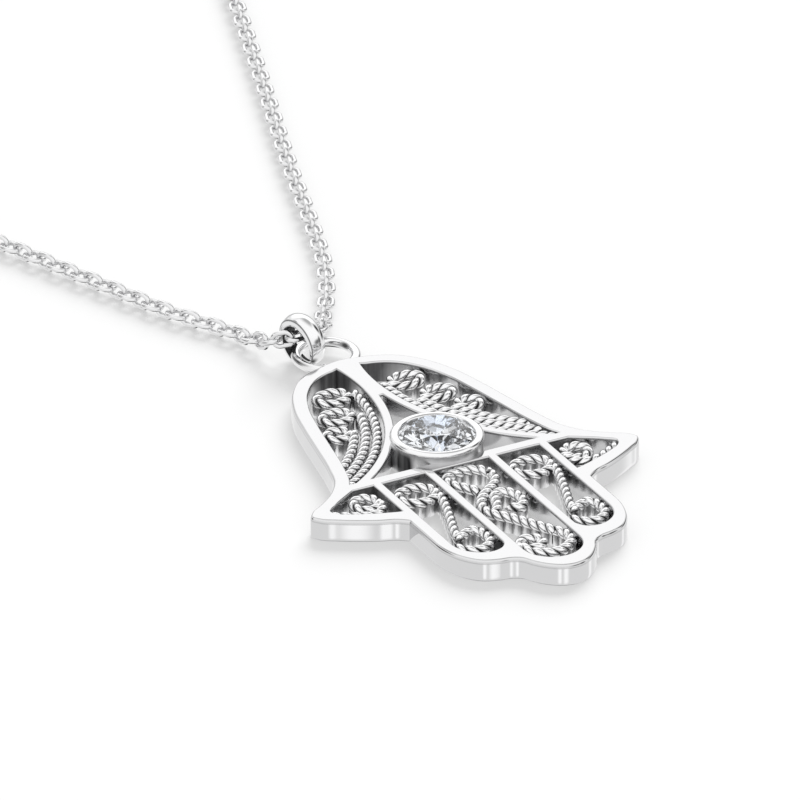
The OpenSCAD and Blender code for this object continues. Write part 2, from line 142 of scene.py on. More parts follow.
def new_piece(name, points, faces, smooth=True, sharp_over=None, dull_and_painted_dark=None):
    """An object at the origin whose mesh has these points, given in millimetres, and these faces. Values
    given for its points are stored on them, clipped to 0 to 1; the silver makes a point rougher by them and
    paints it darker towards black, as painted shade and painted dark reflections."""
    mesh = bpy.data.meshes.new(name)
    mesh.from_pydata((np.asarray(points, float) / 1000).tolist(), [], faces)
    if dull_and_painted_dark is not None:
        depth = mesh.attributes.new("dull_and_painted_dark", "FLOAT", "POINT")
        depth.data.foreach_set("value", np.clip(dull_and_painted_dark, 0, 1).astype(np.float32))
    mesh.polygons.foreach_set("use_smooth", np.full(len(mesh.polygons), smooth))
    if sharp_over:
        mesh.set_sharp_from_angle(angle=np.radians(sharp_over))
    piece = bpy.data.objects.new(name, mesh)
    bpy.context.scene.collection.objects.link(piece)
    return piece


def band_faces(rows, across, close_rows=False):
    """Four-sided faces of a band of closed rows of points, numbered row by row."""
    i = np.arange(rows if close_rows else rows - 1)[:, None]
    j = np.arange(across)[None, :]
    m, n = (i + 1) % rows, (j + 1) % across
    corners = np.broadcast_arrays(i * across + j, i * across + n, m * across + n, m * across + j)
    return np.stack(corners, -1).reshape(-1, 4).tolist()


def turned_over(faces):
    """The same faces seen from their other side."""
    return [f[::-1] for f in faces]


def further_on(faces, start):
    """The same faces on points that are numbered from a start."""
    return [[v + start for v in f] for f in faces]


def fill_in(inputs, values):
    """Each named input set to its value."""
    for name, value in values.items():
        inputs[name].default_value = value


def noise(nodes, links, way, scale, detail=2):
    """The strength of a cloudy pattern: about so many blots to a unit of the way, and finer ones in them."""
    made = nodes.new("ShaderNodeTexNoise")
    fill_in(made.inputs, {"Scale": scale, "Detail": detail})
    links.new(way, made.inputs["Vector"])
    return made.outputs["Fac"]


def stretched(nodes, links, way, scale, turn=(0, 0, 0)):
    """The way stretched and then turned, so that a pattern laid out by it is drawn out."""
    made = nodes.new("ShaderNodeMapping")
    fill_in(made.inputs, {"Rotation": turn, "Scale": scale})
    links.new(way, made.inputs["Vector"])
    return made.outputs["Vector"]


def ranged(nodes, links, value, start, end, to_start=0, to_end=1, kind="LINEAR"):
    """The value moved from one range to another and held at its ends."""
    made = nodes.new("ShaderNodeMapRange")
    made.interpolation_type = kind
    fill_in(made.inputs, {"From Min": start, "From Max": end, "To Min": to_start, "To Max": to_end})
    links.new(value, made.inputs["Value"])
    return made.outputs["Result"]


def worked_out(nodes, links, operation, *terms, clamp=False):
    """What a sum comes to, each of its terms a number or another node's result."""
    made = nodes.new("ShaderNodeMath")
    made.operation, made.use_clamp = operation, clamp
    for socket, term in zip(made.inputs, terms):
        if isinstance(term, (int, float)):
            socket.default_value = term
        else:
            links.new(term, socket)
    return made.outputs[0]


def polish_and_painted_dark_group():
    """The marks that polishing leaves: broad cloudy differences in gloss, and very fine hair scratches of the
    wheel that run mostly one way. Where a point's stored value is high the silver is rougher, and its colour
    is painted darker towards black in upright streaks, as painted shade and painted dark reflections. It
    gives a colour, a roughness and a height."""
    group = bpy.data.node_groups.new("polish_and_painted_dark", "ShaderNodeTree")
    for name, value in (("Gloss", 0.06), ("Cloud", 0.03), ("Scratch", 0.4)):
        group.interface.new_socket(name, in_out="INPUT", socket_type="NodeSocketFloat").default_value = value
    group.interface.new_socket("Bright", in_out="INPUT", socket_type="NodeSocketColor")
    group.interface.new_socket("Color", in_out="OUTPUT", socket_type="NodeSocketColor")
    for name in ("Roughness", "Height"):
        group.interface.new_socket(name, in_out="OUTPUT", socket_type="NodeSocketFloat")
    nodes, links = group.nodes, group.links
    given, out = nodes.new("NodeGroupInput").outputs, nodes.new("NodeGroupOutput").inputs
    place = nodes.new("ShaderNodeTexCoord").outputs["Object"]
    cloud = noise(nodes, links, place, scale=420, detail=4)
    wheel_way = stretched(nodes, links, place, scale=(900, 14000, 9000), turn=(0.2, 0.1, 0.7))
    hair = ranged(nodes, links, noise(nodes, links, wheel_way, scale=1, detail=3), 0.58, 0.72)
    clouded = worked_out(nodes, links, "MULTIPLY_ADD", cloud, given["Cloud"], given["Gloss"])
    scratched = worked_out(nodes, links, "MULTIPLY_ADD", hair, 0.05, clouded)
    links.new(worked_out(nodes, links, "MULTIPLY", hair, given["Scratch"]), out["Height"])
    painted_darkness = nodes.new("ShaderNodeAttribute")
    painted_darkness.attribute_name = "dull_and_painted_dark"
    dull_and_painted_dark = painted_darkness.outputs["Fac"]
    dull = worked_out(nodes, links, "MULTIPLY_ADD", dull_and_painted_dark, 0.8, scratched, clamp=True)
    links.new(dull, out["Roughness"])
    upright_way = stretched(nodes, links, place, scale=(2600, 2600, 160))
    painted_streak = ranged(nodes, links, noise(nodes, links, upright_way, scale=1, detail=3), 0.35, 0.7, 1, 0.75)
    # Painted shade and painted dark reflections: the colour goes towards black by each point's stored value,
    # in upright streaks.
    dark = nodes.new("ShaderNodeMix")
    dark.data_type = "RGBA"
    dark.inputs["B"].default_value = (0.03, 0.03, 0.032, 1)
    links.new(worked_out(nodes, links, "MULTIPLY", dull_and_painted_dark, painted_streak), dark.inputs["Factor"])
    links.new(given["Bright"], dark.inputs["A"])
    links.new(dark.outputs["Result"], out["Color"])
    return group


polish_and_painted_dark = polish_and_painted_dark_group()


def new_look(name):
    """A new material, its nodes and links, and its shader."""
    made = bpy.data.materials.new(name)
    made.use_nodes = True
    return made, made.node_tree.nodes, made.node_tree.links, made.node_tree.nodes["Principled BSDF"]


def silver(name, colour, gloss, cloud, scratch):
    """Polished silver: plain metal with the polishing marks in its gloss and, as very shallow bumps, in its
    surface, and the painted shade and painted dark reflections of its points in its colour."""
    made, node, link, shader = new_look(name)
    shader.inputs["Metallic"].default_value = 1
    marks = node.new("ShaderNodeGroup")
    marks.node_tree = polish_and_painted_dark
    fill_in(marks.inputs, {"Bright": (*colour, 1), "Gloss": gloss, "Cloud": cloud, "Scratch": scratch})
    bump = node.new("ShaderNodeBump")
    fill_in(bump.inputs, {"Strength": 0.08, "Distance": 0.000002})
    link.new(marks.outputs["Height"], bump.inputs["Height"])
    link.new(marks.outputs["Color"], shader.inputs["Base Color"])
    link.new(marks.outputs["Roughness"], shader.inputs["Roughness"])
    link.new(bump.outputs["Normal"], shader.inputs["Normal"])
    return made


inner_x = finger_side[0][0] * step[0] - rim_width
middle_r = middle_share * (inner_x - bar_width)
side_x = middle_r + bar_width
side_width = inner_x - side_x
middle_low = on_hand(fingertip)[0, 1] + tip_rim_width
side_low = on_hand(side_tip)[1] + tip_rim_width
cross_top, cross_low = cross_width / 2, -cross_width / 2
arch_middle = np.array([arch_radius + arch_width / 2, on_hand(arches_meet)[1]])
arch_fork = on_hand(arches_part)[1]
arch_out, arch_in = arch_radius + arch_width / 2, arch_radius - arch_width / 2

palm_outer = smooth_run(on_hand(np.vstack([other_hand(palm_edge), wrist, palm_edge])), 8)
tips_outer = smooth_run(on_hand(np.vstack([finger_tips, fingertip, other_hand(finger_tips)])), 8)
outline = np.vstack([palm_outer[:-1], straight(palm_outer[-1], tips_outer[0], 12),
                     tips_outer[:-1], straight(tips_outer[-1], palm_outer[0], 12)])

rim_line = smooth_run(on_hand(palm_edge), 10)
rim_way = way_along(rim_line)
rim_line = rim_line + palm_rim_width * np.column_stack([rim_way[:, 1], -rim_way[:, 0]])
from_arch = np.linalg.norm(rim_line - arch_middle, axis=1)
rim_line = rim_line[(from_arch < arch_in) & (rim_line[:, 1] > cross_top)]
bottom_left = arch_middle[0] - np.sqrt(arch_in**2 - (arch_middle[1] - cross_top)**2)
bottom_right = rim_line[-1, 0] + (rim_line[-1, 1] - cross_top) * low_corner_slope
top_angle = np.degrees(np.arctan2(*(rim_line[0] - arch_middle)[::-1])) - top_corner_turn
low_angle = np.degrees(np.arctan2(cross_top - arch_middle[1], bottom_left - arch_middle[0])) + 360
palm_opening = np.vstack([bow(arch_middle, arch_in, top_angle, low_angle, 72)[:-1],
                          straight([bottom_left, cross_top], [bottom_right, cross_top], 10),
                          [[bottom_right, cross_top]], rim_line[::-1]])

fork_angle = np.degrees(np.arcsin((arch_fork - arch_middle[1]) / arch_out))
foot_angle = np.degrees(np.arcsin((cross_top - arch_middle[1]) / arch_out))
fork_side = bow(arch_middle, arch_out, 180 - fork_angle, 180 - foot_angle, 48)
middle_opening = np.vstack([other_hand(fork_side), fork_side])[::-1]
middle_finger_opening = np.vstack([straight([middle_r, cross_low], [-middle_r, cross_low], 8),
                                   straight([-middle_r, cross_low], [-middle_r, middle_low + middle_r], 16),
                                   bow([0, middle_low + middle_r], middle_r, 180, 360, 40),
                                   straight([middle_r, middle_low + middle_r], [middle_r, cross_low],
                                            16)[1:]])
side_round = smooth_run(np.column_stack([side_x + side_end[:, 0] * side_width,
                                         side_low + side_end[:, 1] * step[1]]), 8)
side_finger_opening = np.vstack([straight([side_x, cross_low], [inner_x, cross_low], 6),
                                 straight([inner_x, cross_low], side_round[0], 14), side_round[:-1],
                                 straight(side_round[-1], [side_x, cross_low], 14)])[::-1]
thumb_round = smooth_run(on_hand(thumb_end), 8)
thumb_x = inner_x + bar_width
thumb_opening = np.vstack([[[thumb_x, cross_low]], thumb_round[:-1],
                           straight([thumb_x, thumb_round[-1, 1]], [thumb_x, cross_low], 8)])[::-1]
openings = [middle_opening, middle_finger_opening, palm_opening, side_finger_opening, thumb_opening]
openings += [other_hand(o) for o in openings[2:]]


def turns_left(loop):
    """True if a closed loop runs anticlockwise, by the signed area inside it."""
    after = np.roll(loop, -1, 0)
    return (loop[:, 0] * after[:, 1] - after[:, 0] * loop[:, 1]).sum() > 0


def in_corners(loop, reach):
    """How far into a sharp corner of a closed loop each of its places lies: 1 in the corner and less by a
    bell curve of the distance over the reach."""
    ahead = unit(np.roll(loop, -1, 0) - loop)
    corners = loop[(ahead * np.roll(ahead, 1, 0)).sum(1) < np.cos(np.radians(30))]
    if not len(corners):
        return np.zeros(len(loop))
    far = np.linalg.norm(loop[:, None] - corners[None], axis=2).min(1)
    return np.exp(-(far / reach)**2)


def pierced_plate(name, outside, holes, thick, border):
    """A flat plate with openings. Each loop's wall is its line carried down the plate's edge: a flat border,
    a quarter of an oval, the upright wall, a small quarter circle and a flat border, the depth into the metal
    against the height. The two flat faces fill what is left between the borders. How dark a wall is painted,
    as painted shade and painted dark reflections, follows the height, and in an opening also how far into a
    sharp corner it is."""
    points, faces, tops, lows, dull_and_painted_dark = [], [], [], [], []
    count = 0
    for number, loop in enumerate([outside, *holes]):
        ease, drop = (eased_edge, eased_wall) if number == 0 else (hole_edge, hole_wall)
        a, b = np.radians(np.linspace(0, 90, 8)), np.radians(np.linspace(0, 90, 4))
        wall = np.linspace(drop + line_below, thick - back_edge, 6)[:-1]
        inset = np.concatenate([[ease + border], ease * (1 - np.sin(a)), 0 * wall,
                                back_edge * (1 - np.cos(b)), [back_edge + border]])
        deep = np.concatenate([[0], drop * (1 - np.cos(a)), wall, thick - back_edge * (1 - np.sin(b)),
                               [thick]])
        if turns_left(loop) != (number > 0):
            loop = loop[::-1]
        rows = [np.column_stack([spread_in(loop, d), np.full(len(loop), z)])
                for d, z in zip(inset, thick - deep)]
        points.append(np.vstack(rows))
        if number == 0:
            at = [0, 0.05 * drop, 0.2 * drop, 0.75 * drop, drop, drop + line_below]
            painted_darkness = np.repeat(np.interp(deep, at, outside_dark), len(loop))
        else:
            at = [0.4 * drop, drop, drop + line_below, 0.5 * thick, thick]
            corner = corner_dark[number - 1] * in_corners(loop, corner_reach[number - 1])
            down = np.interp(deep, [0.5 * drop, drop, thick], [0, 1, 0.6])
            painted_darkness = np.interp(deep, at, opening_dark)[:, None] + down[:, None] * corner
            painted_darkness = np.minimum(painted_darkness, most_dark).ravel()
        dull_and_painted_dark.append(painted_darkness)
        faces += further_on(band_faces(len(rows), len(loop)), count)
        tops.append(np.arange(len(loop)) + count)
        lows.append(np.arange(len(loop)) + count + (len(rows) - 1) * len(loop))
        count += len(rows) * len(loop)
    points = np.vstack(points)
    for rings, up in ((tops, 1), (lows, -1)):
        flat = [[Vector((*points[i, :2], 0)) for i in ring] for ring in rings]
        fill = np.concatenate(rings)[np.array(tessellate_polygon(flat))]
        a, b, c = (points[fill[:, n], :2] for n in range(3))
        area = (b[:, 0] - a[:, 0]) * (c[:, 1] - a[:, 1]) - (b[:, 1] - a[:, 1]) * (c[:, 0] - a[:, 0])
        fill[area * up < 0] = fill[area * up < 0][:, ::-1]
        faces += fill.tolist()
    return new_piece(name, points, faces, sharp_over=34, dull_and_painted_dark=np.concatenate(dull_and_painted_dark))


def put_on(piece, look, solid):
    """The piece with its look, in the part's one body and in the place of one of the solids."""
    piece.data.materials.append(look)
    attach(piece, "root")
    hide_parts(solid)


# The plate, wires, setting, ear, bail and chain are one silver; their base colours differ as painted light,
# the plate painted darker than the rest.
hand_silver = silver("polished_silver_plate", (0.68, 0.68, 0.685), 0.05, 0.03, 0.3)
put_on(pierced_plate("hand_frame", outline, openings, hand_thick, flat_border), hand_silver, "hand")

# The filigree in the openings: two fine half-flat silver wires twisted into a rope, bent into scrolls and
# rings and soldered on edge to the walls, those of the right side twisted the other way. Under each rope
# stands a strip whose sides are pressed into ribs as wide as the turns of the rope.
wire_width, wire_drop, wire_back, wire_sink, wire_pitch = 0.43, 0.1, 0.02, 0.04, 0.6
strand, strand_flat, twist_radius, turn_length = 0.26, 1.2, 0.115, 1.06
strip_narrow, strip_rib, strip_top, strip_side = 0.1, 0.09, 0.84, 0.84 - 0.05
turn_steps, strand_sides = 18, 12
# Painted shade: the ropes darkened near their axis and under their strands, the strips between their ribs and
# under the rope, and the round-off ends.
groove_r, groove_soft, under_drop, under_soft = 0.232, 0.045, 0.15, 0.12
strip_dark, rib_bright, strip_top_dark = 0.62, 0.6, 0.4
palm_stout, thumb_stout, side_stout, middle_stout = 1.12, 1.14, 1.16, 1.26
right_hand, left_hand = 1, -1
rope_top, ring_stout = hand_thick - wire_drop, 1.12
wire_top = cross_low - wire_width / 2 + wire_sink
side_reach = side_width / 2 - wire_width / 2 + wire_sink
middle_reach = middle_r - wire_width / 2 + wire_sink
side_ring, side_ring_r = [0, 1.35], [1, 0.89]
side_stem = [[0.91, 1.29], [0.91, 2.19], [0.68, 3.19], [0.38, 4.19], [0.06, 5.19], [-0.22, 6.09],
             [-0.38, 7.04]]
side_hook = [[-0.38, 6.79], [0.11, 6.45], [0.56, 6.21], [0.88, 6.49], [0.97, 7.09], [0.9, 7.74],
             [0.54, 8.21], [0, 8.39], [-0.56, 8.09], [-0.91, 7.49]]
middle_crook = [[-0.23, 2.44], [-0.53, 1.79], [-0.81, 1.24], [-0.88, 0.69], [-0.67, 0.21], [-0.2, 0],
                [0.28, 0.03], [0.63, 0.34], [0.81, 0.89]]
middle_stem = [[0.81, 0.89], [0.78, 1.49], [0.52, 2.11], [0.08, 2.64], [-0.33, 3.19], [-0.63, 3.84],
               [-0.75, 4.54], [-0.59, 5.19], [-0.28, 5.74], [-0.01, 6.34], [0.23, 6.97], [0.49, 7.61],
               [0.75, 8.29]]
middle_sweep = [[0.75, 8.29], [1, 9.05], [0.93, 9.69], [0.57, 10.21], [0.08, 10.47], [-0.43, 10.27],
                [-0.83, 9.79], [-1, 9.14]]
middle_ring, middle_ring_r = [-0.47, 9.04], [0.45, 0.62]
middle_curl = [[-0.47, 5.04], [-0.2, 4.49], [-0.03, 3.74], [0.2, 3.19], [0.5, 3.11], [0.77, 3.49],
               [0.87, 4.14], [0.75, 4.79], [0.43, 5.11], [0.2, 4.79]]
thumb_ring, thumb_ring_r = [6.43, -3.88], 0.73
thumb_tail = [[5.72, -4.1], [5.85, -4.72], [6.4, -5.12], [7.2, -5.05], [7.95, -4.68], [8.85, -4.2]]
palm_wires = [[0, 181, 0.38, 0.9, 0.63, 180.5, 246], [1, 194, 0.38, 0.85, 0.61, 194, 244],
              [2, 206.5, 0.17, 0.66, 0.53, 204.5, 239]]
palm_first = 0.38


def oval(middle, rx, ry):
    """The middle line of a ring's stout rope whose outside is as far out as a plain rope's on this oval."""
    a = np.radians(all_round(120))
    less = (ring_stout - 1) * (twist_radius + strand / 2)
    return np.asarray(middle, float) + np.column_stack([(rx - less) * np.cos(a), (ry - less) * np.sin(a)])


def evenly(line, spacing, closed):
    """The same line with its places set evenly, about so far apart, and how far along it each lies."""
    if closed:
        line = np.vstack([line, line[:1]])
    far = np.concatenate([[0], np.cumsum(np.linalg.norm(np.diff(line, axis=0), axis=1))])
    count = int(round(far[-1] / spacing))
    s = np.linspace(0, far[-1], count + 1)[:count if closed else None]
    return np.column_stack([np.interp(s, far, line[:, n]) for n in range(line.shape[1])]), s, far[-1]


def capped_tube(rings, closed):
    """Points and faces of a tube through rings of points, joined to itself if closed, else with a round-off
    point a little past each end ring's middle."""
    rows, across = rings.shape[:2]
    points, faces = rings.reshape(-1, 3), band_faces(rows, across, close_rows=closed)
    if not closed:
        middles = rings.mean(1)
        ends = [middles[0] + 0.6 * (middles[0] - middles[1]), middles[-1] + 0.6 * (middles[-1] - middles[-2])]
        j = np.arange(across)
        n = (j + 1) % across
        last = (rows - 1) * across
        faces = faces + np.stack([n, j, np.full(across, rows * across)], -1).tolist()
        faces += np.stack([last + j, last + n, np.full(across, rows * across + 1)], -1).tolist()
        points = np.vstack([points, ends])
    return points, faces


def twisted_wire(line, closed, hand, stout):
    """A rope of two strands on its ribbed strip, along a flat line.

    The strands' middles go round the line's own at the twist radius, one turn to each turn length, half a
    turn apart, to the left hand where hand is -1, and a closed rope has a whole number of turns. The strip's
    half width is its narrow width and a rib, the size of the cosine of the same turn. A stouter rope has all
    its widths more by that share, with its top as high. Near the rope's axis, low on the strands and between
    the ribs it is painted dark, as painted shade.
    """
    line, s, whole = evenly(line, turn_length / turn_steps, closed)
    turn = whole / round(whole / turn_length) if closed else turn_length
    rope_r = stout * (twist_radius + strand / 2)
    ahead = way_along(line, closed)
    left = np.column_stack([-ahead[:, 1], ahead[:, 0], np.zeros(len(line))])
    middle = np.column_stack([line, np.full(len(line), rope_top - rope_r)])
    b = np.radians(all_round(strand_sides))[None, :, None]
    parts = []
    for half in (0, np.pi):
        a = (hand * 2 * np.pi * s / turn + half)[:, None]
        out = np.cos(a) * left + np.sin(a) * [0, 0, 1]
        core = middle + stout * twist_radius * out
        aside = unit(np.cross(way_along(core, closed), out))
        section = np.cos(b) * out[:, None] + strand_flat * np.sin(b) * aside[:, None]
        rings = core[:, None] + stout * strand / 2 * section
        groove = (groove_r * stout - np.linalg.norm(rings - middle[:, None], axis=2)) / groove_soft
        below = (middle[0, 2] - under_drop * stout - rings[:, :, 2]) / under_soft
        parts.append((*capped_tube(rings, closed), np.maximum(groove, below)))
    rib = np.abs(np.cos(2 * np.pi * s / turn))[:, None, None]
    wide = stout * (strip_narrow + strip_rib * rib)
    side = np.array([-1, -1, -0.7, 0.7, 1, 1])[None, :, None]
    rings = middle[:, None] + wide * side * left[:, None]
    rings[:, :, 2] = [wire_back, strip_side, strip_top, strip_top, strip_side, wire_back]
    under_rope = np.array([0, 1, 1, 1, 1, 0])
    dark = strip_dark - rib_bright * rib[:, :, 0] + strip_top_dark * under_rope
    parts.append((*capped_tube(rings, closed), dark))
    return parts


def filigree(name, stout, wires):
    """One piece from all the twisted wires of an area of the hand, all as stout as each other."""
    points, faces, dull_and_painted_dark, count = [], [], [], 0
    for line, closed, hand in wires:
        # The last of each part is how dark its points are painted, as painted shade; the round-off points are
        # painted fully dark.
        for p, f, deep in twisted_wire(line, closed, hand, stout):
            points.append(p)
            dull_and_painted_dark.append(np.pad(deep.ravel(), (0, len(p) - deep.size), constant_values=1))
            faces += further_on(f, count)
            count += len(p)
    ropes = new_piece(name, np.vstack(points), faces, sharp_over=50, dull_and_painted_dark=np.concatenate(dull_and_painted_dark))
    put_on(ropes, wire_silver, "hand")


def down_finger(places, reach, middle_x):
    """Millimetres from a finger's table: shares of the reach across, and steps down from the cross bar."""
    p = np.asarray(places, float)
    return np.column_stack([middle_x + p[:, 0] * reach, wire_top - p[:, 1] * step[1]])


def both_sides(wires):
    """The wires of one side of the hand, and their mirror images on the other, twisted the other way."""
    return wires + [(line * [-1, 1], closed, -hand) for line, closed, hand in wires]


# Painted light: the same silver as the plate, painted lighter.
wire_silver = silver("twisted_silver_wire", (0.86, 0.86, 0.865), 0.07, 0.04, 0.3)

palm_lines = []
for rank, ring_angle, aside, rx, ry, start, end in palm_wires:
    r = arch_in - (palm_first + rank * wire_pitch)
    wire = bow(arch_middle, r, start, end, 120)
    to_edge = np.linalg.norm(wire[:, None] - palm_outer[None], axis=2).min(1)
    palm_lines.append((wire[:np.argmax(to_edge < palm_rim_width / 2)], False, left_hand))
    toward = np.radians(ring_angle)
    ring_middle = arch_middle + (r - aside - rx) * np.array([np.cos(toward), np.sin(toward)])
    palm_lines.append((oval(ring_middle, rx, ry), True, left_hand))
filigree("palm_filigree", palm_stout, both_sides(palm_lines))

thumb_lines = [(oval(on_hand(thumb_ring), *(thumb_ring_r * step)), True, left_hand),
               (smooth_run(on_hand(thumb_tail), 12), False, left_hand)]
filigree("thumb_filigree", thumb_stout, both_sides(thumb_lines))

side_lines = []
for x in (-side_x - side_width / 2, side_x + side_width / 2):
    ring_middle = down_finger([side_ring], side_reach, x)[0]
    ring_line = oval(ring_middle, side_ring_r[0] * side_reach, side_ring_r[1] * step[1])
    side_lines.append((ring_line, True, right_hand))
    for knots in (side_stem, side_hook):
        side_lines.append((smooth_run(down_finger(knots, side_reach, x), 12), False, right_hand))
filigree("side_finger_filigree", side_stout, side_lines)

middle_lines = [(smooth_run(down_finger(k, middle_reach, 0), 12), False, right_hand)
                for k in (middle_crook, middle_stem, middle_sweep, middle_curl)]
middle_lines.append((oval(down_finger([middle_ring], middle_reach, 0)[0], middle_ring_r[0] * middle_reach,
                          middle_ring_r[1] * step[1]), True, right_hand))
filigree("middle_finger_filigree", middle_stout, middle_lines)

# The setting: a turned silver cup soldered over the arches and the cross bar, open at its back and coned
# inside to seat the stone. Its wall is burnished over into a rounded rim, a little wider than the wall, that
# holds the stone by its girdle. Its wall is painted dark low down, just under the rim and most where it
# meets an arch, and its inside is painted dark too: painted shade and painted dark reflections.
stone_d, stone_gap, pavilion_h, crown_h, girdle_h, table_d = 4.15, 0.04, 1.42, 0.58, 0.1, 2.4
cup_wall, cup_rise, lip_width, lip_height, cup_bore, cup_around = 0.27, 0.6, 0.06, 0.11, 2.8, 128
rim_over_wall, rim_over_lip, rim_side, foot_round, foot_steps = 0.06, 0.03, 0.24, 0.08, [0, 30, 60, 90]
# Patches of painted shade on the cup's wall beside the arches: darkness, angle round the cup, reach and
# sharpness.
wall_painted_dark = [(1.1, 196, 13, 4), (0.5, 322, 10, 2)]
cup_top = hand_thick + cup_rise
seat_r = stone_d / 2 + stone_gap
cup_r = seat_r + cup_wall
girdle_top = cup_top - lip_height - 2 * stone_gap
girdle_low = girdle_top - girdle_h


def turned(name, profile, dark, middle, around):
    """A turned piece: a closed profile of radius and height, run anticlockwise, carried once round an upright
    axis, made rougher and painted as dark at each place as the dark values say, as painted shade and painted
    dark reflections."""
    a = np.radians(all_round(around))[:, None]
    r, z = profile[:, 0], np.broadcast_to(profile[:, 1], (around, len(profile)))
    points = np.stack([np.cos(a) * r + middle[0], np.sin(a) * r + middle[1], z], -1).reshape(-1, 3)
    faces = turned_over(band_faces(around, len(profile), close_rows=True))
    return new_piece(name, points, faces, sharp_over=40, dull_and_painted_dark=dark.ravel())


rim_out, rim_in = cup_r + rim_over_wall, seat_r - stone_gap - lip_width - rim_over_lip
rim_mid, rim_half = (rim_out + rim_in) / 2, (rim_out - rim_in) / 2
over = np.radians(np.linspace(0, 180, 17))
rim_round = np.where(over < np.pi / 2, rim_side, lip_height)
rounded_rim = np.column_stack([rim_mid + rim_half * np.cos(over), cup_top - rim_round * (1 - np.sin(over))])
foot_turn = np.radians(foot_steps)
foot = foot_round * (1 - np.column_stack([np.sin(foot_turn), np.cos(foot_turn)]))
bore_z = girdle_low - stone_gap - (seat_r - cup_bore / 2) * pavilion_h / (stone_d / 2)
wall_rows = np.column_stack([np.full(6, cup_r), np.linspace(0.3, cup_top - 0.3, 6)])
cup_profile = np.vstack([np.column_stack([cup_r - foot[:, 0], foot[:, 1]]), wall_rows, rounded_rim,
                         [[seat_r, cup_top - lip_height], [seat_r, girdle_low - stone_gap],
                          [cup_bore / 2, bore_z], [cup_bore / 2, 0]]])
up_cup, outer_wall = cup_profile[:, 1], cup_profile[:, 0] > rim_mid
# Painted shade and painted dark reflections on the cup: darker low on its wall and just under the rim, and
# inside.
wall_dark = np.interp(up_cup, [0, hand_thick, cup_top - 0.3, cup_top - 0.2], [0.35, 0.2, 0.45, 0])
cup_dark = np.where(outer_wall, wall_dark, 0.3)
cup_dark = np.where((up_cup > cup_top - lip_height + 0.01) & ~outer_wall, 0, cup_dark)
cup_way = all_round(cup_around)[:, None]
beside_arch = sum(dark * np.exp(-((cup_way - at) / reach)**power) for dark, at, reach, power in wall_painted_dark)
low_wall = outer_wall * np.interp(up_cup, [0.2, 0.4, 1.2, 1.45], [0, 1, 1, 0])
# Painted light: the same silver as the plate, painted lighter.
setting_silver = silver("burnished_silver_setting", (0.84, 0.84, 0.845), 0.07, 0.03, 0.2)
cup = turned("stone_setting", cup_profile, cup_dark + beside_arch * low_wall, stone_middle, cup_around)
put_on(cup, setting_silver, "hand")

# The ear: a ring of round silver wire soldered flat to the edge of the wrist, which the bail hangs in. Its
# seam is hidden in the solder. Three dark lines are painted along it: painted dark reflections.
ear_wire, ear_d, ear_z, ear_sink, ear_around, ear_across = 0.54, 3.12, 0.66, 0.24, 128, 32
# Three painted dark reflections along the wire: darkness, angle round the ring, reach, angle round the wire
# and width.
ear_painted_lines = [(1.2, 184, 24, 38, 13), (1.2, 14, 13, 150, 28), (0.45, 50, 40, 175, 12)]
ear_middle = np.array([0, on_hand(wrist)[0, 1] + ear_d / 2 + ear_wire / 2 - ear_sink, ear_z])


def wire_ring(middle, mean_d, wire, tilt=0, around=96, across=24):
    """Points and faces of a ring of round wire: a circle of the wire's radius carried round a circle of
    the mean radius, then tilted about the X axis by an angle in degrees."""
    a = np.radians(all_round(around))[:, None]
    b = np.radians(all_round(across))[None, :]
    out = mean_d / 2 + wire / 2 * np.cos(b)
    x, y, z = np.cos(a) * out, np.sin(a) * out, np.broadcast_to(wire / 2 * np.sin(b), (around, across))
    c, s = np.cos(np.radians(tilt)), np.sin(np.radians(tilt))
    points = np.stack([x, y * c - z * s, y * s + z * c], -1).reshape(-1, 3) + middle
    return points, turned_over(band_faces(around, across, close_rows=True))


ear_way, ear_side = all_round(ear_around)[:, None], all_round(ear_across)[None, :]
ear_dark = sum(dark * np.exp(-((ear_way - way) / reach)**2 - ((ear_side - side) / wide)**2)
               for dark, way, reach, side, wide in ear_painted_lines)
ear_points, ear_faces = wire_ring(ear_middle, ear_d, ear_wire, 0, ear_around, ear_across)
put_on(new_piece("ear_ring", ear_points, ear_faces, dull_and_painted_dark=ear_dark.ravel()), setting_silver, "hand")

# The stone: a round brilliant, white with a faint blue cast, cut with a table, stars, kites, upper and
# lower girdle facets and mains, and polished. Its lower facets are backed with bright silver foil. The rim
# of the cup holds it.
star_out, low_share, foil_near, foil_far = 0.04, 0.26, (1.001, 0.009), (1.004, 0.02)
first_star, first_top, first_low, first_main, culet = 8, 16, 32, 48, 56


